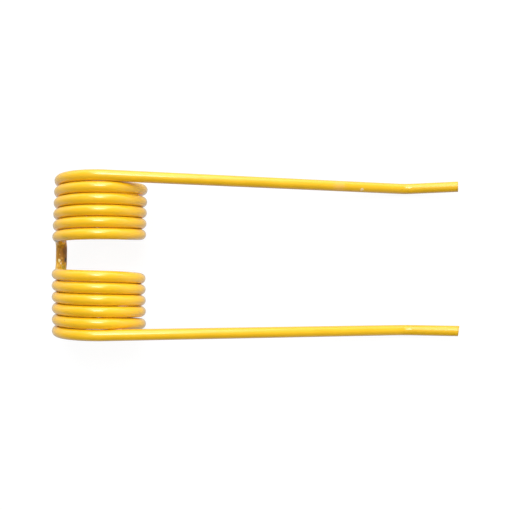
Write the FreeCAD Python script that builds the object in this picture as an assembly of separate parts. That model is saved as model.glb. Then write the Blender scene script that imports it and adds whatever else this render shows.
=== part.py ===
"""Double coil spring tine for the pick-up reel of a baler.

The whole tine is one length of round spring wire. It runs from the end of one tip
along an arm, five and a quarter times round a coil, across a short bridge, round a
second coil of the opposite hand and out along the other arm.

It is drawn as it lies on a flat surface: on the undersides of its two coils and of the
bends where its tips turn up. Units are millimetres. The origin is on the axis of the
coils, midway between them. +Y runs along that axis, +X runs out over the arms and +Z
is up. The tine is its own mirror image about the plane Y = 0.
"""
import FreeCAD, Part
import math
import os

from FreeCAD import Rotation, Vector

# The wire
wire_diameter = 5.5
tip_edge_chamfer = 0.6

# The coils, each wound from its arm inwards
coil_bore = 35.0
turn_gap = 0.1
whole_turns = 5
extra_wrap_deg = 100.0
coil_lean_deg = 1.25

# The bridge between the coils, where a clamp holds the tine to its bar
bridge_straight = 6.1
bridge_bend_radius = 6.0

# The arms and their turned-up tips, measured along the middle of the wire
arm_length = 157.0
tip_length = 29.7
tip_bend_deg = 31.0
tip_bend_radius = 15.0

# How finely the round wire and its bends are drawn with flat faces
section_sides = 16
chord_deg = 12.0

# What follows from those sizes
wire_radius = wire_diameter / 2
coil_radius = coil_bore / 2 + wire_radius
coil_pitch = wire_diameter + turn_gap
coil_turns = whole_turns + extra_wrap_deg / 360
coil_length = coil_pitch * coil_turns
tip_setback = tip_bend_radius * math.tan(math.radians(tip_bend_deg / 2))

ORIGIN = Vector(0, 0, 0)
OUT_ALONG_ARM = Vector(1, 0, 0)
OUT_ALONG_AXIS = Vector(0, 1, 0)
UP = Vector(0, 0, 1)


def coil_point(turns):
    """The middle of the wire after so many turns of the coil on the +Y side.

    The coil is centred on the origin. The wire comes in from the arm over the top of
    the outermost turn, goes down the back and is one pitch nearer the bridge each time
    it comes round. Seen from above, the axis of the coil leans a little from +Y, so that
    the wire crosses the top almost in line with the arm.
    """
    angle = 2 * math.pi * turns
    point = Vector(-coil_radius * math.sin(angle),
                   coil_length / 2 - coil_pitch * turns,
                   coil_radius * math.cos(angle))
    return Rotation(UP, -coil_lean_deg).multVec(point)


def coil_direction(turns):
    """The direction in which the wire runs after so many turns, away from the arm."""
    angle = 2 * math.pi * turns
    direction = Vector(-coil_radius * math.cos(angle),
                       -coil_pitch / (2 * math.pi),
                       -coil_radius * math.sin(angle))
    direction.normalize()
    return Rotation(UP, -coil_lean_deg).multVec(direction)


def bend(start, direction, towards, radius, angle_deg):
    """The points along a bend after its start, and the direction in which it ends."""
    side = towards - direction * towards.dot(direction)
    side.normalize()
    hinge = direction.cross(side)
    centre = start + side * radius
    chords = math.ceil(angle_deg / chord_deg)
    turns = [Rotation(hinge, angle_deg * step / chords) for step in range(1, chords + 1)]
    return [centre + turn.multVec(start - centre) for turn in turns], turns[-1].multVec(direction)


def arm_points():
    """From the end of the tip, round its bend and along the arm, short of the coil."""
    arm_start = coil_point(0)
    bend_start = arm_start + OUT_ALONG_ARM * (arm_length - tip_setback)
    around, heading = bend(bend_start, OUT_ALONG_ARM, UP, tip_bend_radius, tip_bend_deg)
    tip_end = around[-1] + heading * (tip_length - tip_setback)
    return [tip_end] + around[::-1] + [bend_start]


def coil_points():
    """Round the coil, from where the arm meets it to where the bridge leaves it."""
    chords = math.ceil(360 * coil_turns / chord_deg)
    return [coil_point(coil_turns * step / chords) for step in range(chords + 1)]


def bridge_points():
    """Out of the coil, round the bend and along the straight to the middle of the bridge."""
    start = coil_point(coil_turns)
    direction = coil_direction(coil_turns)
    inwards = OUT_ALONG_AXIS * -1
    angle_deg = math.degrees(direction.getAngle(inwards))
    around, heading = bend(start, direction, inwards, bridge_bend_radius, angle_deg)
    return around + [around[-1] + heading * (bridge_straight / 2)]


def section(centre, direction):
    """The wire's section: a regular polygon with the area of the round wire."""
    step = 2 * math.pi / section_sides
    corner_radius = wire_radius * math.sqrt(step / math.sin(step))
    across = direction.cross(OUT_ALONG_AXIS)
    across.normalize()
    spoke = across * corner_radius
    corners = [centre + Rotation(direction, math.degrees(step * side)).multVec(spoke)
               for side in range(section_sides)]
    return Part.makePolygon(corners + corners[:1])


def half_tine():
    """One tip, arm and coil with its half of the bridge, ending in the plane Y = 0."""
    points = arm_points() + coil_points() + bridge_points()
    points = [point - OUT_ALONG_AXIS * points[-1].y for point in points]
    heading = points[1] - points[0]
    heading.normalize()
    mitred_corners = 1
    path = Part.makePolygon(points)
    wire = path.makePipeShell([section(points[0], heading)], True, False, mitred_corners)
    tip_face = min(wire.Faces, key=lambda face: (face.CenterOfMass - points[0]).Length)
    return wire.makeChamfer(tip_edge_chamfer, tip_face.Edges)


def lowest(points, lean_deg):
    """The lowest of some points once the arms have been leant down by an angle."""
    lean = Rotation(OUT_ALONG_AXIS, lean_deg)
    return min(lean.multVec(point).z for point in points)


def resting_lean_deg():
    """How far the arms lean down when the coils and the tip bends rest on a table."""
    steps = 720
    coil_line = [coil_point(coil_turns * step / steps) for step in range(steps + 1)]
    bend_start = coil_point(0) + OUT_ALONG_ARM * (arm_length - tip_setback)
    bend_centre = bend_start + UP * tip_bend_radius
    bend_line = [bend_centre - Rotation(OUT_ALONG_AXIS, -tip_bend_deg * step / steps).multVec(UP)
                 * tip_bend_radius for step in range(steps + 1)]
    shallow, steep = 0.0, 45.0
    while steep - shallow > 0.0001:
        middle = (shallow + steep) / 2
        if lowest(coil_line, middle) < lowest(bend_line, middle):
            shallow = middle
        else:
            steep = middle
    return shallow


def tine():
    """Both halves as one solid, lying at rest."""
    half = half_tine()
    whole = half.fuse(half.mirror(ORIGIN, OUT_ALONG_AXIS)).Solids[0]
    whole.rotate(ORIGIN, OUT_ALONG_AXIS, resting_lean_deg())
    return whole


os.makedirs("parts", exist_ok=True)
tine().exportStep("parts/tine_wire.step")
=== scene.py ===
"""Looks of the double coil spring tine: one length of spring wire in glossy yellow paint.

The wire follows the same rule as the solid it stands for. A Geometry Nodes tree lays out
its middle line from the sizes below, sweeps a round section along it and mirrors the half
for the second coil and arm. Lengths are in metres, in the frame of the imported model: the
origin is on the axis of the coils, +Y runs along that axis, +X out over the arms, +Z up.
"""
import logging
import math
from dataclasses import dataclass, field
from enum import Enum
from typing import Any

import bmesh
import bpy
from mathutils import Matrix, Quaternion, Vector


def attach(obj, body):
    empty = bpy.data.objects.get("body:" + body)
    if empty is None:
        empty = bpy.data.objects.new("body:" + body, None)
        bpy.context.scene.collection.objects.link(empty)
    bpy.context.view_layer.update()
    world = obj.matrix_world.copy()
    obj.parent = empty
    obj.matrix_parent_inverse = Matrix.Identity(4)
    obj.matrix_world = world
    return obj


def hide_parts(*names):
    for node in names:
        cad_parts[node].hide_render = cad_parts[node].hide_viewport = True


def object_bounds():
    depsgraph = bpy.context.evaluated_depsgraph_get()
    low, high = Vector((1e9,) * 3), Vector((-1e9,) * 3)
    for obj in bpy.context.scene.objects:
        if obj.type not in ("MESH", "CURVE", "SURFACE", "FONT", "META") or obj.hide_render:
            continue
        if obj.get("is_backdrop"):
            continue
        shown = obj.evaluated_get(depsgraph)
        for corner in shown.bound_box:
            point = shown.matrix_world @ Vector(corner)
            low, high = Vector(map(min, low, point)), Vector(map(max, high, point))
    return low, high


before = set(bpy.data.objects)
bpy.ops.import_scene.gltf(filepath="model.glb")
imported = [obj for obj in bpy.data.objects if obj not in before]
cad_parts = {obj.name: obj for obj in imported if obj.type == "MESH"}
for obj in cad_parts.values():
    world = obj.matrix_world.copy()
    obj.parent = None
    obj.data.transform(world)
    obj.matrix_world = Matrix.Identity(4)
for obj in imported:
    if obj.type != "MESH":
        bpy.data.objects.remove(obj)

LOG = logging.getLogger("tine")
MILLIMETRE = 0.001
SAME_PLACE = 1e-6
HALF_A_STEP = 0.5
IMAGE_SIDE_PX = 510
SENSOR_MM = 36.0
BODY = "root"
NODE = "tine_wire"
OUT_ALONG_ARM = Vector((1.0, 0.0, 0.0))
OUT_ALONG_AXIS = Vector((0.0, 1.0, 0.0))
UP = Vector((0.0, 0.0, 1.0))

Socket = bpy.types.NodeSocket
Sockets = bpy.types.bpy_prop_collection
Value = Socket | float | int | bool | str | tuple | Vector
Setting = float | int | Vector | bpy.types.Material
Box = tuple[Vector, Vector]
Pair = tuple[float, float]
Triple = tuple[float, float, float]
Side = tuple[float, float, float, float]

SOCKET_KINDS = {int: "Int", float: "Float", Vector: "Vector", bpy.types.Material: "Material"}


class Mark(Enum):
    """The kinds of mark on the paint: what is chipped, rubbed, stained or spotted. The rubbed and
    stained kinds are also used for painted shade.
    """

    CHIP = "chip"
    SCUFF_AND_SHADE = "scuff"
    STAIN_AND_SHADE = "stain"
    SPECK = "speck"


class Nodes:
    """Adds nodes to a tree and links what they are given."""

    def __init__(self, tree: bpy.types.NodeTree) -> None:
        """Start from an empty tree.

        Args:
            tree: the tree to fill.
        """
        self.tree = tree
        tree.nodes.clear()

    def add(self, kind: str, inputs: dict[str | int, Value] | None = None,
            **settings: Any) -> bpy.types.Node:
        """Add one node.

        Args:
            kind: the node's Blender type.
            inputs: a socket to link or a plain value, for each input by name or place.
            settings: the node's own properties.

        Returns:
            The new node.
        """
        node = self.tree.nodes.new(kind)
        for name, value in settings.items():
            setattr(node, name, value)
        for key, value in (inputs or {}).items():
            self.give(node.inputs[key], value)
        return node

    def give(self, socket: Socket, value: Value) -> None:
        """Link a socket to an input, or set the input's own value.

        Args:
            socket: the input.
            value: a socket or a plain value.
        """
        if isinstance(value, bpy.types.NodeSocket):
            self.tree.links.new(value, socket)
        else:
            socket.default_value = value

    def calc(self, operation: str, *values: Value) -> Socket:
        """One arithmetic step on numbers.

        Args:
            operation: the Math node's operation.
            values: its one, two or three inputs.

        Returns:
            The result.
        """
        return self.add("ShaderNodeMath", dict(enumerate(values)), operation=operation).outputs[0]

    def vector(self, operation: str, *values: Value) -> Socket:
        """One arithmetic step on vectors.

        Args:
            operation: the Vector Math node's operation.
            values: its inputs.

        Returns:
            The vector result, or the number for a length or a dot product.
        """
        node = self.add("ShaderNodeVectorMath", dict(enumerate(values)), operation=operation)
        return node.outputs["Value" if operation in ("DOT_PRODUCT", "LENGTH", "DISTANCE") else 0]

    def scaled(self, vector: Value, factor: Value) -> Socket:
        """A vector made longer or shorter."""
        return self.add("ShaderNodeVectorMath", {0: vector, "Scale": factor},
                        operation="SCALE").outputs[0]

    def parts(self, vector: Value) -> Sockets:
        """A vector's X, Y and Z."""
        return self.add("ShaderNodeSeparateXYZ", {0: vector}).outputs

    def position(self) -> Socket:
        """The place of each point of a shape."""
        return self.add("GeometryNodeInputPosition").outputs[0]

    def ramp(self, value: Value, start: float, end: float, low: float = 0.0,
             high: float = 1.0, smooth: bool = True) -> Socket:
        """Carry a number from one range to another and hold it at both ends.

        Args:
            value: the number.
            start: where the change starts.
            end: where it ends.
            low: the result up to the start.
            high: the result from the end on.
            smooth: ease in and out in place of a straight change.

        Returns:
            The result.
        """
        node = self.add("ShaderNodeMapRange", {"Value": value, "From Min": start, "From Max": end,
                                               "To Min": low, "To Max": high},
                        interpolation_type="SMOOTHSTEP" if smooth else "LINEAR")
        return node.outputs["Result"]


@dataclass(frozen=True)
class WireSizes:
    """The sizes that the tine is bent to, in metres and degrees.

    The fronts of the turns stand a little further out along the axis than an even winding
    puts them, all by front_shift and the first turn of each coil by first_turn_shift more.
    The end of the tip on the -Y side is cut aslant, by slant_of_second_tip in one.
    """

    wire_diameter: float = 5.5 * MILLIMETRE
    coil_bore: float = 35.0 * MILLIMETRE
    turn_gap: float = 0.1 * MILLIMETRE
    coil_turns: float = 5.0 + 100.0 / 360.0
    coil_lean_deg: float = 1.25
    bridge_straight: float = 6.1 * MILLIMETRE
    bridge_bend_radius: float = 6.0 * MILLIMETRE
    arm_length: float = 159.5 * MILLIMETRE
    tip_length: float = 27.4 * MILLIMETRE
    tip_bend_deg: float = 31.0
    tip_bend_radius: float = 15.0 * MILLIMETRE
    tip_turn_deg: float = 0.8
    front_shift: float = 0.25 * MILLIMETRE
    first_turn_shift: float = 0.65 * MILLIMETRE
    slant_of_second_tip: float = 0.14

    @property
    def wire_radius(self) -> float:
        """Half the wire's thickness."""
        return self.wire_diameter / 2

    @property
    def coil_radius(self) -> float:
        """From the coil's axis to the middle of the wire."""
        return self.coil_bore / 2 + self.wire_radius

    @property
    def coil_pitch(self) -> float:
        """How far the coil advances in a turn."""
        return self.wire_diameter + self.turn_gap

    @property
    def coil_lean(self) -> float:
        """How far each coil's axis leans from straight across, in radians."""
        return math.radians(self.coil_lean_deg)

    @property
    def tip_setback(self) -> float:
        """From the corner of the tip's bend back to where the bend starts."""
        return self.tip_bend_radius * math.tan(math.radians(self.tip_bend_deg / 2))

    def coil_point(self, turns: float) -> Vector:
        """The middle of the wire on the coil, before the arms are leant down.

        Args:
            turns: turns from the arm.

        Returns:
            The point.
        """
        angle = 2 * math.pi * turns
        point = Vector((-self.coil_radius * math.sin(angle),
                        self.coil_pitch * (self.coil_turns / 2 - turns),
                        self.coil_radius * math.cos(angle)))
        return Quaternion(UP, -self.coil_lean) @ point

    def coil_direction(self) -> Vector:
        """The way the wire runs where the coil ends and the bridge begins.

        Returns:
            The direction, one metre long.
        """
        angle = 2 * math.pi * self.coil_turns
        direction = Vector((-self.coil_radius * math.cos(angle),
                            -self.coil_pitch / (2 * math.pi),
                            -self.coil_radius * math.sin(angle)))
        return Quaternion(UP, -self.coil_lean) @ direction.normalized()

    def arm_corner(self) -> Vector:
        """Where the line of the arm meets the line of the tip."""
        return self.coil_point(0) + OUT_ALONG_ARM * self.arm_length

    def tip_end(self) -> Vector:
        """The end of the wire."""
        rise = Quaternion(OUT_ALONG_AXIS, -math.radians(self.tip_bend_deg))
        return self.arm_corner() + rise @ OUT_ALONG_ARM * self.tip_length

    def bridge_corner(self) -> Vector:
        """Where the line out of the coil meets the line of the bridge."""
        direction = self.coil_direction()
        return self.coil_point(self.coil_turns) + direction * self.bridge_setback()

    def bridge_setback(self) -> float:
        """From the corner of the bridge's bend back to where the bend starts."""
        angle = self.coil_direction().angle(-OUT_ALONG_AXIS)
        return self.bridge_bend_radius * math.tan(angle / 2)

    def bridge_middle(self) -> Vector:
        """The middle of the bridge, which lies in the plane of symmetry."""
        reach = self.bridge_setback() + self.bridge_straight / 2
        return self.bridge_corner() - OUT_ALONG_AXIS * reach

    def resting_lean(self) -> float:
        """How far the arms lean down at rest on a table, in radians.

        Returns:
            The lean at which the undersides of the coil and of the tip's bend are level.
        """
        steps = 720
        close_enough = 1e-6
        coil = [self.coil_point(self.coil_turns * step / steps) for step in range(steps + 1)]
        centre = self.arm_corner() - OUT_ALONG_ARM * self.tip_setback + UP * self.tip_bend_radius
        rise = math.radians(self.tip_bend_deg)
        bend = [centre - Quaternion(OUT_ALONG_AXIS, -rise * step / steps)
                @ UP * self.tip_bend_radius for step in range(steps + 1)]
        shallow, steep = 0.0, math.radians(45.0)
        while steep - shallow > close_enough:
            middle = (shallow + steep) / 2
            lean = Quaternion(OUT_ALONG_AXIS, middle)
            if min((lean @ p).z for p in coil) < min((lean @ p).z for p in bend):
                shallow = middle
            else:
                steep = middle
        return shallow


@dataclass(frozen=True)
class PaintWeb:
    """The paint that has run into the gap where the -Y arm parts from the next turn.

    Its ends and half sizes are in millimetres.
    """

    start: Triple = (9.9, -35.35, 18.05)
    end: Triple = (14.9, -35.25, 15.75)
    half_width: float = 0.7
    half_height: float = 0.5
    facets_around: int = 16
    rings: int = 10

    def fill(self, shape: bmesh.types.BMesh) -> None:
        """Add the web as a long drop that is sunk into both wires.

        Args:
            shape: the tine's mesh.
        """
        start, end = (Vector(point) * MILLIMETRE for point in (self.start, self.end))
        along = end - start
        half_sizes = (along.length / 2, self.half_width * MILLIMETRE, self.half_height * MILLIMETRE)
        place = Matrix.LocRotScale((start + end) / 2, along.to_track_quat("X", "Z"), half_sizes)
        bmesh.ops.create_uvsphere(shape, u_segments=self.facets_around, v_segments=self.rings,
                                  radius=1.0, matrix=place)


@dataclass
class TineWire:
    """The tine itself: both arms, both coils and the bridge as one piece of wire."""

    sizes: WireSizes = field(default_factory=WireSizes)
    web: PaintWeb = field(default_factory=PaintWeb)
    name: str = "tine_wire_painted"
    steps_a_turn: int = 72
    steps_a_bend: int = 14
    steps_around: int = 48
    tip_rounding: float = 1.9 * MILLIMETRE
    steps_a_rounding: int = 6
    reach_for_next_turn: float = 2.0 * MILLIMETRE
    lift_for_reach: float = 0.01 * MILLIMETRE

    def tree(self, settings: dict[str, Setting]) -> bpy.types.NodeTree:
        """Build the Geometry Nodes tree that lays out, sweeps and mirrors the wire.

        Args:
            settings: the value of each of the tree's inputs, by name.

        Returns:
            The tree.
        """
        tree = bpy.data.node_groups.new("bent_spring_wire", "GeometryNodeTree")
        tree.interface.new_socket("Geometry", in_out="OUTPUT", socket_type="NodeSocketGeometry")
        for name, value in settings.items():
            kind = "NodeSocket" + SOCKET_KINDS[type(value)]
            tree.interface.new_socket(name, in_out="INPUT", socket_type=kind)
        nodes = Nodes(tree)
        given = nodes.add("NodeGroupInput").outputs
        line = self.middle_line(nodes, given)
        half = self.sweep(nodes, given, line)
        whole = self.both_halves(nodes, given, half)
        marked = self.mark_seams(nodes, given, whole)
        smooth = nodes.add("GeometryNodeSetShadeSmooth", {"Geometry": marked})
        real = nodes.add("GeometryNodeRealizeInstances", {"Geometry": smooth.outputs[0]})
        dressed = nodes.add("GeometryNodeSetMaterial", {"Geometry": real.outputs[0],
                                                        "Material": given["Paint"]})
        nodes.add("NodeGroupOutput", {"Geometry": dressed.outputs[0]})
        return tree

    def settings(self, paint: bpy.types.Material) -> dict[str, Setting]:
        """The tree's inputs by name.

        Args:
            paint: the finish of the wire.

        Returns:
            Each input's value.
        """
        sizes = self.sizes
        return {
            "Wire Radius": sizes.wire_radius,
            "Steps Around": self.steps_around,
            "Coil Radius": sizes.coil_radius,
            "Coil Pitch": sizes.coil_pitch,
            "Coil Turns": sizes.coil_turns,
            "Coil Steps": math.ceil(self.steps_a_turn * sizes.coil_turns),
            "Coil Lean": sizes.coil_lean,
            "Bend Steps": self.steps_a_bend,
            "Tip End": sizes.tip_end(),
            "Arm Corner": sizes.arm_corner(),
            "Tip Bend Radius": sizes.tip_bend_radius,
            "Bridge Corner": sizes.bridge_corner(),
            "Bridge Middle": sizes.bridge_middle(),
            "Bridge Bend Radius": sizes.bridge_bend_radius,
            "Lean": sizes.resting_lean(),
            "Tip Turn": math.tan(math.radians(sizes.tip_turn_deg)),
            "Front Shift": sizes.front_shift,
            "First Turn Shift": sizes.first_turn_shift,
            "Second Tip Slant": sizes.slant_of_second_tip,
            "Seam Reach": self.reach_for_next_turn,
            "Seam Lift": self.lift_for_reach,
            "Paint": paint,
        }

    def middle_line(self, nodes: Nodes, given: Sockets) -> Socket:
        """Lay out the middle of the wire from the end of a tip to the middle of the bridge.

        The points are the tip's end, the arm's corner, the coil's turns, the bridge's
        corner and its middle. The two corners are then rounded to their radii.

        Args:
            nodes: the tree's nodes.
            given: the tree's inputs.

        Returns:
            One line.
        """
        corners_before = 2
        last_step = nodes.calc("ADD", given["Coil Steps"], corners_before)
        index = nodes.add("GeometryNodeInputIndex").outputs[0]
        turns = nodes.calc("MULTIPLY", given["Coil Turns"], nodes.calc(
            "DIVIDE", nodes.calc("SUBTRACT", index, corners_before), given["Coil Steps"]))
        angle = nodes.calc("MULTIPLY", turns, 2 * math.pi)
        along_axis = nodes.calc("MULTIPLY", given["Coil Pitch"], nodes.calc(
            "SUBTRACT", nodes.calc("DIVIDE", given["Coil Turns"], 2.0), turns))
        front = nodes.calc("MAXIMUM", nodes.calc("MULTIPLY", nodes.calc("SINE", angle), -1.0), 0.0)
        first = nodes.calc("MULTIPLY", given["First Turn Shift"],
                           nodes.calc("LESS_THAN", turns, 1.0))
        crowding = nodes.calc("MULTIPLY", nodes.calc("MULTIPLY", front, front),
                              nodes.calc("ADD", given["Front Shift"], first))
        along_axis = nodes.calc("ADD", along_axis, crowding)
        across = nodes.calc("MULTIPLY", given["Coil Radius"], nodes.calc("SINE", angle))
        height = nodes.calc("MULTIPLY", given["Coil Radius"], nodes.calc("COSINE", angle))
        upright = nodes.add("ShaderNodeCombineXYZ", {
            "X": nodes.calc("MULTIPLY", across, -1.0), "Y": along_axis, "Z": height})
        place = nodes.add("ShaderNodeVectorRotate", {
            "Vector": upright.outputs[0],
            "Angle": nodes.calc("MULTIPLY", given["Coil Lean"], -1.0)},
            rotation_type="Z_AXIS").outputs[0]
        radius = 0.0
        steps = 0
        past_coil = nodes.calc("ADD", last_step, 1.0)
        last = nodes.calc("ADD", past_coil, 1.0)
        ends_and_corners = (
            (0.0, "Tip End", None), (1.0, "Arm Corner", "Tip Bend Radius"),
            (past_coil, "Bridge Corner", "Bridge Bend Radius"), (last, "Bridge Middle", None))
        for at, point, bend in ends_and_corners:
            here = nodes.calc("COMPARE", index, at, HALF_A_STEP)
            place = self.choose(nodes, here, place, given[point], "VECTOR")
            if bend:
                radius = self.choose(nodes, here, radius, given[bend], "FLOAT")
                steps = self.choose(nodes, here, steps, given["Bend Steps"], "INT")
        start = nodes.add("GeometryNodeCurvePrimitiveLine")
        stations = nodes.add("GeometryNodeResampleCurve", {
            "Curve": start.outputs[0], "Count": nodes.calc("ADD", last, 1.0)}, mode="COUNT")
        laid = nodes.add("GeometryNodeSetPosition", {
            "Geometry": stations.outputs[0], "Position": place})
        rounded = nodes.add("GeometryNodeFilletCurve", {
            "Curve": laid.outputs[0], "Count": steps, "Radius": radius}, mode="POLY")
        return rounded.outputs[0]

    @staticmethod
    def choose(nodes: Nodes, here: Socket, otherwise: Value, chosen: Value, kind: str) -> Socket:
        """Take one value at some points and another elsewhere.

        Args:
            nodes: the tree's nodes.
            here: one where the chosen value holds.
            otherwise: the value elsewhere.
            chosen: the value there.
            kind: the Switch node's type of input.

        Returns:
            The value at each point.
        """
        node = nodes.add("GeometryNodeSwitch", {"Switch": here, "False": otherwise, "True": chosen},
                         input_type=kind)
        return node.outputs[0]

    def sweep(self, nodes: Nodes, given: Sockets, line: Socket) -> Socket:
        """Run the round section along the line and close it at the tip.

        Args:
            nodes: the tree's nodes.
            given: the tree's inputs.
            line: the middle of the wire.

        Returns:
            Half the tine, open where the bridge meets the other half.
        """
        length = nodes.add("GeometryNodeSplineParameter").outputs["Length"]
        measured = nodes.add("GeometryNodeStoreNamedAttribute", {
            "Geometry": line, "Name": "along", "Value": length}, data_type="FLOAT", domain="POINT")
        circle = nodes.add("GeometryNodeCurvePrimitiveCircle", {
            "Resolution": given["Steps Around"], "Radius": given["Wire Radius"]}, mode="RADIUS")
        wire = nodes.add("GeometryNodeCurveToMesh", {
            "Curve": measured.outputs[0], "Profile Curve": circle.outputs[0], "Fill Caps": True})
        middle = nodes.parts(given["Bridge Middle"])["Y"]
        across = nodes.parts(nodes.position())["Y"]
        at_middle = nodes.calc("COMPARE", across, middle, SAME_PLACE)
        return nodes.add("GeometryNodeDeleteGeometry", {
            "Geometry": wire.outputs[0], "Selection": at_middle},
            domain="FACE", mode="ONLY_FACE").outputs[0]

    def both_halves(self, nodes: Nodes, given: Sockets, half: Socket) -> Socket:
        """Join the half to its mirror image, turn both tips a little aside and lay the tine down.

        Args:
            nodes: the tree's nodes.
            given: the tree's inputs.
            half: half the tine.

        Returns:
            The whole tine at rest.
        """
        middle = nodes.parts(given["Bridge Middle"])["Y"]
        shift = nodes.add("ShaderNodeCombineXYZ", {"Y": nodes.calc("MULTIPLY", middle, -1.0)})
        near = nodes.add("GeometryNodeTransform", {
            "Geometry": half, "Translation": shift.outputs[0]}).outputs[0]
        far = nodes.add("GeometryNodeTransform", {
            "Geometry": near, "Scale": (1.0, -1.0, 1.0)}).outputs[0]
        outward = nodes.add("GeometryNodeFlipFaces", {"Mesh": far}).outputs[0]
        join = nodes.add("GeometryNodeJoinGeometry")
        nodes.tree.links.new(near, join.inputs[0])
        nodes.tree.links.new(outward, join.inputs[0])
        merged = nodes.add("GeometryNodeMergeByDistance", {
            "Geometry": join.outputs[0], "Distance": SAME_PLACE}).outputs[0]
        along = nodes.parts(nodes.position())["X"]
        corner = nodes.parts(given["Arm Corner"])["X"]
        past = nodes.calc("MAXIMUM", nodes.calc("SUBTRACT", along, corner), 0.0)
        aside = nodes.add("ShaderNodeCombineXYZ", {
            "Y": nodes.calc("MULTIPLY", past, given["Tip Turn"])})
        turned = nodes.add("GeometryNodeSetPosition", {
            "Geometry": merged, "Offset": aside.outputs[0]}).outputs[0]
        cut = self.slant_tip(nodes, given, turned)
        lean = nodes.add("ShaderNodeCombineXYZ", {"Y": given["Lean"]}).outputs[0]
        return nodes.add("GeometryNodeTransform", {"Geometry": cut, "Rotation": lean}).outputs[0]

    def slant_tip(self, nodes: Nodes, given: Sockets, wire: Socket) -> Socket:
        """Cut the end of the tip on the -Y side a little slantwise, as seen from above.

        Args:
            nodes: the tree's nodes.
            given: the tree's inputs.
            wire: the whole tine before it is laid down.

        Returns:
            The tine with the slanted end.
        """
        along = nodes.add("GeometryNodeInputNamedAttribute", {"Name": "along"},
                          data_type="FLOAT").outputs[0]
        across = nodes.parts(nodes.position())["Y"]
        second = nodes.calc("LESS_THAN", across, 0.0)
        at_end = nodes.calc("MULTIPLY", nodes.calc("LESS_THAN", along, SAME_PLACE), second)
        end = nodes.add("GeometryNodeAttributeStatistic", {
            "Geometry": wire, "Selection": at_end, "Attribute": across},
            data_type="FLOAT").outputs["Mean"]
        aside = nodes.calc("SUBTRACT", across, end)
        forward = nodes.vector("NORMALIZE", nodes.vector(
            "SUBTRACT", given["Tip End"], given["Arm Corner"]))
        move = nodes.scaled(forward, nodes.calc("MULTIPLY", aside, given["Second Tip Slant"]))
        return nodes.add("GeometryNodeSetPosition", {
            "Geometry": wire, "Selection": at_end, "Offset": move}).outputs[0]

    def mark_seams(self, nodes: Nodes, given: Sockets, wire: Socket) -> Socket:
        """Mark how near the next turn lies, straight out from each place on the wire.

        Args:
            nodes: the tree's nodes.
            given: the tree's inputs.
            wire: the whole tine.

        Returns:
            The tine with the attribute seam, from 0 in the open to 1 where turns touch.
        """
        normal = nodes.add("GeometryNodeInputNormal").outputs[0]
        clear = nodes.vector("ADD", nodes.position(), nodes.scaled(normal, given["Seam Lift"]))
        cast = nodes.add("GeometryNodeRaycast", {
            "Target Geometry": wire, "Source Position": clear, "Ray Direction": normal,
            "Ray Length": given["Seam Reach"]})
        gap = nodes.calc("DIVIDE", cast.outputs["Hit Distance"], given["Seam Reach"])
        seam = nodes.calc("MULTIPLY", cast.outputs["Is Hit"], nodes.calc("SUBTRACT", 1.0, gap))
        return nodes.add("GeometryNodeStoreNamedAttribute", {
            "Geometry": wire, "Name": "seam", "Value": seam},
            data_type="FLOAT", domain="POINT").outputs[0]

    def build(self, paint: bpy.types.Material) -> bpy.types.Object:
        """Make the tine as a plain mesh that stands for its solid.

        Args:
            paint: the finish of the wire.

        Returns:
            The finished piece.
        """
        maker = bpy.data.objects.new("wire_maker", bpy.data.meshes.new("wire_maker"))
        bpy.context.scene.collection.objects.link(maker)
        modifier = maker.modifiers.new("wire", "NODES")
        settings = self.settings(paint)
        modifier.node_group = self.tree(settings)
        for item in modifier.node_group.interface.items_tree:
            if item.in_out == "INPUT":
                value = settings[item.name]
                modifier[item.identifier] = list(value) if isinstance(value, Vector) else value
        evaluated = maker.evaluated_get(bpy.context.evaluated_depsgraph_get())
        mesh = bpy.data.meshes.new_from_object(evaluated)
        mesh.name = self.name
        bpy.data.objects.remove(maker)
        self.finish_mesh(mesh)
        piece = bpy.data.objects.new(self.name, mesh)
        bpy.context.scene.collection.objects.link(piece)
        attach(piece, BODY)
        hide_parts(NODE)
        return piece

    def finish_mesh(self, mesh: bpy.types.Mesh) -> None:
        """Round the edge of each tip's flat end and add the web of paint.

        Args:
            mesh: the tine's mesh, changed in place.
        """
        soft_bend = math.radians(60.0)
        shape = bmesh.new()
        shape.from_mesh(mesh)
        rims = [edge for edge in shape.edges
                if edge.is_manifold and edge.calc_face_angle() > soft_bend]
        bmesh.ops.bevel(shape, geom=rims, offset=self.tip_rounding, profile=0.5,
                        segments=self.steps_a_rounding, affect="EDGES", clamp_overlap=True)
        self.web.fill(shape)
        for face in shape.faces:
            face.smooth = True
        shape.to_mesh(mesh)
        shape.free()


@dataclass(frozen=True)
class MarkEdge:
    """How one kind of mark looks: how its border runs, and how dull it is, from 0 to 1."""

    raggedness: float
    softness: float
    dullness: float


MARK_EDGES = {
    Mark.CHIP: MarkEdge(raggedness=0.5, softness=0.45, dullness=0.3),
    Mark.SCUFF_AND_SHADE: MarkEdge(raggedness=0.9, softness=0.8, dullness=0.8),
    Mark.STAIN_AND_SHADE: MarkEdge(raggedness=0.6, softness=0.6, dullness=0.6),
    Mark.SPECK: MarkEdge(raggedness=0.5, softness=0.5, dullness=0.4),
}


@dataclass(frozen=True)
class PaintMark:
    """One mark on the paint. It shows inside an ellipsoid, given in millimetres."""

    kind: Mark
    centre: Triple
    reach: Triple
    colour: Triple
    strength: float = 1.0


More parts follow.
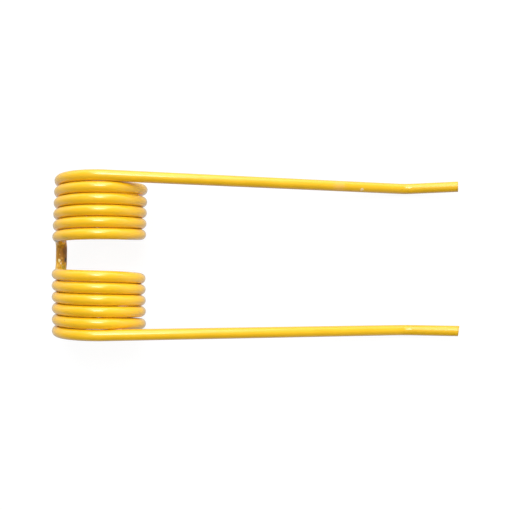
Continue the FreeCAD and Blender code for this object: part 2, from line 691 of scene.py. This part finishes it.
BRIDGE_MARKS_AND_SHADE = (
    # Painted shade over dirty, worn paint: the stains darken the bridge to brown where it lies deep
    # between the coils. They are darkest along its +X side and under the upper coil and lighter
    # towards the lower coil. The chips and specks are the paint's own.
    PaintMark(Mark.STAIN_AND_SHADE, (-20.8, 0.6, -4.0), (5.4, 9.4, 6.4), (0.42, 0.165, 0.002), 0.9),
    PaintMark(Mark.STAIN_AND_SHADE, (-18.5, 1.0, -3.0), (1.7, 9.0, 2.6), (0.22, 0.1, 0.002), 0.7),
    PaintMark(Mark.STAIN_AND_SHADE, (-19.0, 3.4, -2.2), (1.1, 3.4, 1.2), (0.14, 0.06, 0.002), 0.4),
    PaintMark(Mark.STAIN_AND_SHADE, (-20.9, -5.9, 0.1), (2.0, 2.9, 2.0), (0.54, 0.28, 0.002), 0.9),
    PaintMark(Mark.STAIN_AND_SHADE, (-18.7, -6.0, -1.0), (1.6, 2.6, 1.9), (0.3, 0.24, 0.003), 0.8),
    PaintMark(Mark.STAIN_AND_SHADE, (-20.1, -4.6, -1.3), (1.3, 1.8, 1.5), (0.46, 0.27, 0.003), 0.8),
    PaintMark(Mark.SCUFF_AND_SHADE, (-21.4, -4.4, -1.0), (1.2, 2.0, 1.2), (0.8, 0.42, 0.02), 0.45),
    PaintMark(Mark.CHIP, (-21.2, -2.3, -1.2), (0.8, 1.05, 0.8), (1.0, 0.86, 0.36)),
    PaintMark(Mark.CHIP, (-21.0, 0.8, -1.1), (0.5, 0.45, 0.5), (0.95, 0.6, 0.12), 0.8),
    PaintMark(Mark.CHIP, (-19.7, -1.1, -1.5), (0.7, 0.6, 0.6), (0.8, 0.5, 0.1), 0.5),
    PaintMark(Mark.SPECK, (-20.1, -2.1, -1.2), (0.35, 0.6, 0.4), (0.16, 0.1, 0.02), 0.8),
    PaintMark(Mark.SPECK, (-18.5, -1.9, -2.7), (0.6, 1.7, 0.8), (0.04, 0.025, 0.008)),
    PaintMark(Mark.SPECK, (-18.8, 6.9, 9.4), (1.8, 1.2, 3.2), (0.03, 0.04, 0.012)),
)
COIL_MARKS_AND_WEB_SHADE = (
    PaintMark(Mark.STAIN_AND_SHADE, (-11.6, 8.0, 19.0), (4.6, 1.5, 2.0), (0.62, 0.45, 0.01), 0.4),
    PaintMark(Mark.SPECK, (-7.0, 29.5, 19.2), (1.5, 0.5, 0.7), (0.4, 0.3, 0.35), 0.6),
    PaintMark(Mark.SPECK, (-11.6, -31.3, 19.5), (0.4, 0.7, 0.5), (0.4, 0.18, 0.02), 0.5),
    # The paint web: duller, and darker by painted shade where it lies deep in the groove.
    PaintMark(Mark.SCUFF_AND_SHADE, (12.4, -35.3, 16.9), (4.4, 0.9, 2.8), (0.84, 0.43, 0.003)),
)
ARM_MARKS_AND_TIP_SHADE = (
    PaintMark(Mark.SCUFF_AND_SHADE, (122.3, 37.9, -8.8), (5.0, 4.8, 3.4), (0.95, 0.5, 0.13), 0.5),
    PaintMark(Mark.CHIP, (134.8, 36.6, -12.3), (1.25, 1.15, 1.15), (1.0, 0.77, 0.42), 0.95),
    # Painted shade on the rounded end of each tip, which faces +X: darkened as if it got less light
    # there.
    PaintMark(Mark.STAIN_AND_SHADE, (185.4, 38.5, -11.3), (1.3, 3.4, 3.0), (0.55, 0.33, 0.01), 0.45),
    PaintMark(Mark.STAIN_AND_SHADE, (185.4, -37.1, -11.3), (1.3, 3.4, 3.0), (0.55, 0.33, 0.01), 0.45),
)


@dataclass(frozen=True)
class GlossyPaint:
    """Thick glossy enamel over spring steel, with painted shade where one turn touches the next.

    Clouds in it change the tone and the roughness a little. Scales count the waves of a
    texture in a metre.
    """

    name: str = "yellow_enamel"
    colour: Triple = (0.95, 0.542, 0.005)
    # Painted shade: the colour the paint takes towards where one turn touches the next.
    seam_shade_colour: Triple = (0.6, 0.25, 0.005)
    roughness: float = 0.34
    coat: float = 1.0
    coat_roughness: float = 0.17
    refraction: float = 1.5
    cloud_scale: float = 90.0
    cloud_edges: Pair = (0.3, 0.7)
    cloud_tones: Pair = (0.965, 1.03)
    cloud_roughness: Pair = (-0.04, 0.05)
    dull_roughness: float = 0.15
    seam_starts: float = 0.25
    seam_full: float = 0.95
    seam_shade_share: float = 0.45
    grain_scale: float = 1300.0
    streak_scales: Triple = (1700.0, 260.0, 1700.0)
    peel_size: float = 0.9 * MILLIMETRE
    peel_depth: float = 0.0006 * MILLIMETRE
    marks: tuple[PaintMark, ...] = BRIDGE_MARKS_AND_SHADE + COIL_MARKS_AND_WEB_SHADE + ARM_MARKS_AND_TIP_SHADE

    def build(self) -> bpy.types.Material:
        """Make the material.

        Returns:
            The material.
        """
        material = bpy.data.materials.new(self.name)
        material.use_nodes = True
        nodes = Nodes(material.node_tree)
        place = nodes.add("ShaderNodeTexCoord").outputs["Object"]
        clouds = nodes.add("ShaderNodeTexNoise", {
            "Vector": place, "Scale": self.cloud_scale, "Detail": 3.0,
            "Roughness": 0.55}).outputs["Fac"]
        # Painted shade: the seam attribute darkens the paint and turns it orange towards where one
        # turn touches the next, in the groove where shade falls.
        seam = nodes.add("ShaderNodeAttribute", attribute_name="seam").outputs["Fac"]
        toned = nodes.scaled(self.colour, nodes.ramp(clouds, *self.cloud_edges, *self.cloud_tones))
        shade_between_turns = nodes.ramp(seam, self.seam_starts, self.seam_full, 0.0, self.seam_shade_share)
        colour = self.mix(nodes, shade_between_turns, toned, self.seam_shade_colour)
        colour, dullness = self.lay_marks(nodes, place, colour)
        peel = nodes.add("ShaderNodeTexNoise", {
            "Vector": place, "Scale": 1.0 / self.peel_size, "Detail": 1.5,
            "Roughness": 0.4}).outputs["Fac"]
        bump = nodes.add("ShaderNodeBump", {
            "Height": peel, "Distance": self.peel_depth, "Strength": 1.0}).outputs["Normal"]
        gloss = nodes.ramp(clouds, *self.cloud_edges,
                           *(self.roughness + change for change in self.cloud_roughness))
        gloss = nodes.calc("MULTIPLY_ADD", dullness, self.dull_roughness, gloss)
        coat = nodes.calc("MULTIPLY", self.coat, nodes.calc("SUBTRACT", 1.0, dullness))
        shader = nodes.add("ShaderNodeBsdfPrincipled", {
            "Base Color": colour, "Roughness": gloss, "Normal": bump, "IOR": self.refraction,
            "Coat Weight": coat, "Coat Roughness": self.coat_roughness})
        nodes.add("ShaderNodeOutputMaterial", {"Surface": shader.outputs[0]})
        return material

    def lay_marks(self, nodes: Nodes, place: Socket, colour: Socket) -> tuple[Socket, Socket]:
        """Lay the marks over the paint.

        Args:
            nodes: the tree's nodes.
            place: where a point lies on the object.
            colour: the colour of the clean paint.

        Returns:
            The marked colour, and how dull the paint is from 0 to 1.
        """
        grain = nodes.add("ShaderNodeTexNoise", {
            "Vector": place, "Scale": self.grain_scale, "Detail": 2.0}).outputs["Fac"]
        drawn_out = nodes.vector("MULTIPLY", place, self.streak_scales)
        streaks = nodes.add("ShaderNodeTexNoise", {
            "Vector": drawn_out, "Scale": 1.0, "Detail": 2.0}).outputs["Fac"]
        dullness = 0.0
        for mark in self.marks:
            edge = MARK_EDGES[mark.kind]
            centre = Vector(mark.centre) * MILLIMETRE
            spread = Vector([1.0 / (side * MILLIMETRE) for side in mark.reach])
            offset = nodes.vector("MULTIPLY", nodes.vector("SUBTRACT", place, centre), spread)
            texture = streaks if mark.kind is Mark.STAIN_AND_SHADE else grain
            rough = nodes.calc("MULTIPLY", nodes.calc("SUBTRACT", texture, 0.5),
                               2.0 * edge.raggedness)
            distance = nodes.calc("ADD", nodes.vector("LENGTH", offset), rough)
            shown = nodes.ramp(distance, 1.0 - edge.softness, 1.0, mark.strength, 0.0)
            colour = self.mix(nodes, shown, colour, mark.colour)
            dull = nodes.calc("MULTIPLY", shown, edge.dullness)
            dullness = nodes.calc("MAXIMUM", dullness, dull)
        return colour, dullness

    @staticmethod
    def mix(nodes: Nodes, factor: Value, under: Value, over: Triple) -> Socket:
        """Lay one colour over another.

        Args:
            nodes: the tree's nodes.
            factor: how much of the upper colour shows.
            under: the lower colour.
            over: the upper colour.

        Returns:
            The mixed colour.
        """
        colour_a, colour_b, colour_result = 6, 7, 2
        node = nodes.add("ShaderNodeMix", {
            "Factor": factor, colour_a: under, colour_b: (*over, 1.0)}, data_type="RGBA")
        return node.outputs[colour_result]


@dataclass(frozen=True)
class Studio:
    """The white floor, the soft light and the camera.

    Each of the sides is a direction and how bright the room is there at the horizon. The
    fill lights the tine, and what is mirrored shows in its gloss. The camera looks down,
    turned about the line of camera_turn by as many radians as that is long.
    """

    floor_side: float = 40.0
    floor_colour: Triple = (0.24, 0.18, 0.13)
    floor_glow: float = 0.92
    floor_share: float = 0.12
    floor_mirrored: float = 0.6
    key_place: Triple = (0.11, 0.835, 0.7)
    key_width: float = 0.89
    key_height: float = 1.06
    key_power: float = 4.8
    core_place: Triple = (0.157, 0.448, 0.992)
    core_size: float = 0.5
    core_power: float = 5.0
    fill_overhead: float = 0.6
    fill_sides: tuple[Side, ...] = ((0.9, 0.44, 0.0, 3.9), (-0.9, 0.44, 0.0, 2.8))
    mirrored_overhead: float = 0.16
    mirrored_sides: tuple[Side, ...] = (
        (0.0, 1.0, 0.0, 2.0), (1.0, 0.0, 0.0, 0.24), (-1.0, 0.0, 0.0, 0.1))
    band_height: float = 0.66
    focal_px: float = 609.6
    nearest_seen: float = 0.01
    camera_place: Triple = (0.07901, -0.0088, 0.30924)
    camera_turn: Triple = (0.032, 0.0014, 0.0068)

    def build(self, lowest: float) -> None:
        """Set the stage.

        Args:
            lowest: the height of the object's underside.
        """
        self.lay_floor(lowest)
        self.light_world()
        self.hang_key()
        self.place_camera()
        bpy.context.scene.view_settings.view_transform = "Standard"

    def lay_floor(self, height: float) -> None:
        """Lay the floor.

        Args:
            height: its height.
        """
        half = self.floor_side / 2
        mesh = bpy.data.meshes.new("floor")
        mesh.from_pydata([(-half, -half, height), (half, -half, height), (half, half, height),
                          (-half, half, height)], [], [(0, 1, 2, 3)])
        floor = bpy.data.objects.new("floor", mesh)
        bpy.context.scene.collection.objects.link(floor)
        material = bpy.data.materials.new("floor_white")
        material.use_nodes = True
        nodes = Nodes(material.node_tree)
        lit = nodes.add("ShaderNodeBsdfDiffuse", {"Color": (*self.floor_colour, 1.0)}).outputs[0]
        shaded = nodes.add("ShaderNodeBsdfDiffuse", {
            "Color": (self.floor_share,) * 3 + (1.0,)}).outputs[0]
        glow = nodes.add("ShaderNodeEmission", {"Strength": self.floor_glow}).outputs[0]
        seen = nodes.add("ShaderNodeAddShader", {0: shaded, 1: glow}).outputs[0]
        mirrored = nodes.add("ShaderNodeEmission", {"Strength": self.floor_mirrored}).outputs[0]
        path = nodes.add("ShaderNodeLightPath").outputs
        bounced = nodes.add("ShaderNodeMixShader", {
            0: path["Is Glossy Ray"], 1: lit, 2: mirrored}).outputs[0]
        surface = nodes.add("ShaderNodeMixShader", {
            0: path["Is Camera Ray"], 1: bounced, 2: seen}).outputs[0]
        nodes.add("ShaderNodeOutputMaterial", {"Surface": surface})
        mesh.materials.append(material)
        floor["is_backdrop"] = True

    def light_world(self) -> None:
        """Fill the room with plain light, white to the camera and dim on the near side."""
        world = bpy.data.worlds.new("studio")
        world.use_nodes = True
        bpy.context.scene.world = world
        nodes = Nodes(world.node_tree)
        direction = nodes.add("ShaderNodeTexCoord").outputs["Generated"]
        fill = self.surroundings(nodes, direction, self.fill_overhead, self.fill_sides)
        mirrored = self.surroundings(nodes, direction, self.mirrored_overhead, self.mirrored_sides)
        path = nodes.add("ShaderNodeLightPath").outputs
        plain = self.blend(nodes, path["Is Glossy Ray"], fill, mirrored)
        strength = self.blend(nodes, path["Is Camera Ray"], plain, 1.0)
        background = nodes.add("ShaderNodeBackground", {
            "Color": (1.0, 1.0, 1.0, 1.0), "Strength": strength})
        nodes.add("ShaderNodeOutputWorld", {"Surface": background.outputs[0]})

    def surroundings(self, nodes: Nodes, direction: Socket, overhead: float,
                     sides: tuple[Side, ...]) -> Socket:
        """How bright the room is all round: overhead, and in a band above the horizon.

        Args:
            nodes: the world's nodes.
            direction: the way a ray goes.
            overhead: the brightness straight up.
            sides: for each side of the room its direction and its brightness at the horizon.

        Returns:
            The brightness seen along the ray.
        """
        height = nodes.parts(direction)["Z"]
        up = nodes.calc("MAXIMUM", height, 0.0)
        bright = nodes.calc("MULTIPLY", overhead, nodes.calc("MULTIPLY", up, up))
        band = nodes.ramp(nodes.calc("ABSOLUTE", height), 0.0, self.band_height, 1.0, 0.0,
                          smooth=False)
        for *side, strength in sides:
            towards = nodes.vector("DOT_PRODUCT", direction, Vector(side))
            facing = nodes.calc("MAXIMUM", towards, 0.0)
            lit = nodes.calc("MULTIPLY", nodes.calc("MULTIPLY", facing, band), strength)
            bright = nodes.calc("ADD", bright, lit)
        return bright

    @staticmethod
    def blend(nodes: Nodes, factor: Value, low: Value, high: Value) -> Socket:
        """Go from one number to another.

        Args:
            nodes: the tree's nodes.
            factor: how far, from 0 to 1.
            low: the number at 0.
            high: the number at 1.

        Returns:
            The number.
        """
        return nodes.add("ShaderNodeMix", {"Factor": factor, "A": low, "B": high},
                         data_type="FLOAT").outputs["Result"]

    def hang_key(self) -> None:
        """Hang the soft lamp over the far side of the tine, with its brighter middle."""
        self.hang("key", self.key_place, (self.key_width, self.key_height), self.key_power)
        self.hang("key_core", self.core_place, (self.core_size, self.core_size), self.core_power)

    @staticmethod
    def hang(name: str, place: Triple, size: Pair, power: float) -> None:
        """Hang one oval lamp and aim it at the tine.

        Args:
            name: its name.
            place: where it hangs.
            size: its width and height.
            power: its power in watts.
        """
        lamp = bpy.data.lights.new(name, "AREA")
        lamp.shape = "ELLIPSE"
        lamp.size, lamp.size_y = size
        lamp.energy = power
        stand = bpy.data.objects.new(name, lamp)
        stand.location = place
        stand.rotation_euler = Vector(place).to_track_quat("Z", "Y").to_euler()
        bpy.context.scene.collection.objects.link(stand)

    def place_camera(self) -> None:
        """Place the camera where the photograph was taken from."""
        camera = bpy.data.cameras.new("camera")
        camera.sensor_width = SENSOR_MM
        camera.lens = self.focal_px / IMAGE_SIDE_PX * SENSOR_MM
        camera.clip_start = self.nearest_seen
        stand = bpy.data.objects.new("camera", camera)
        stand.location = self.camera_place
        turn = Vector(self.camera_turn)
        stand.rotation_euler = Quaternion(turn.normalized(), turn.length).to_euler()
        bpy.context.scene.collection.objects.link(stand)
        bpy.context.scene.camera = stand


def main(cad_box: Box) -> None:
    """Build the tine and its studio.

    Args:
        cad_box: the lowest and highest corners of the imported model.
    """
    logging.basicConfig(level=logging.INFO, format="%(name)s: %(message)s")
    piece = TineWire().build(GlossyPaint().build())
    LOG.info("%s has %d faces", piece.name, len(piece.data.polygons))
    Studio().build(cad_box[0][2])


if __name__ == "__main__":
    main(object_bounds())
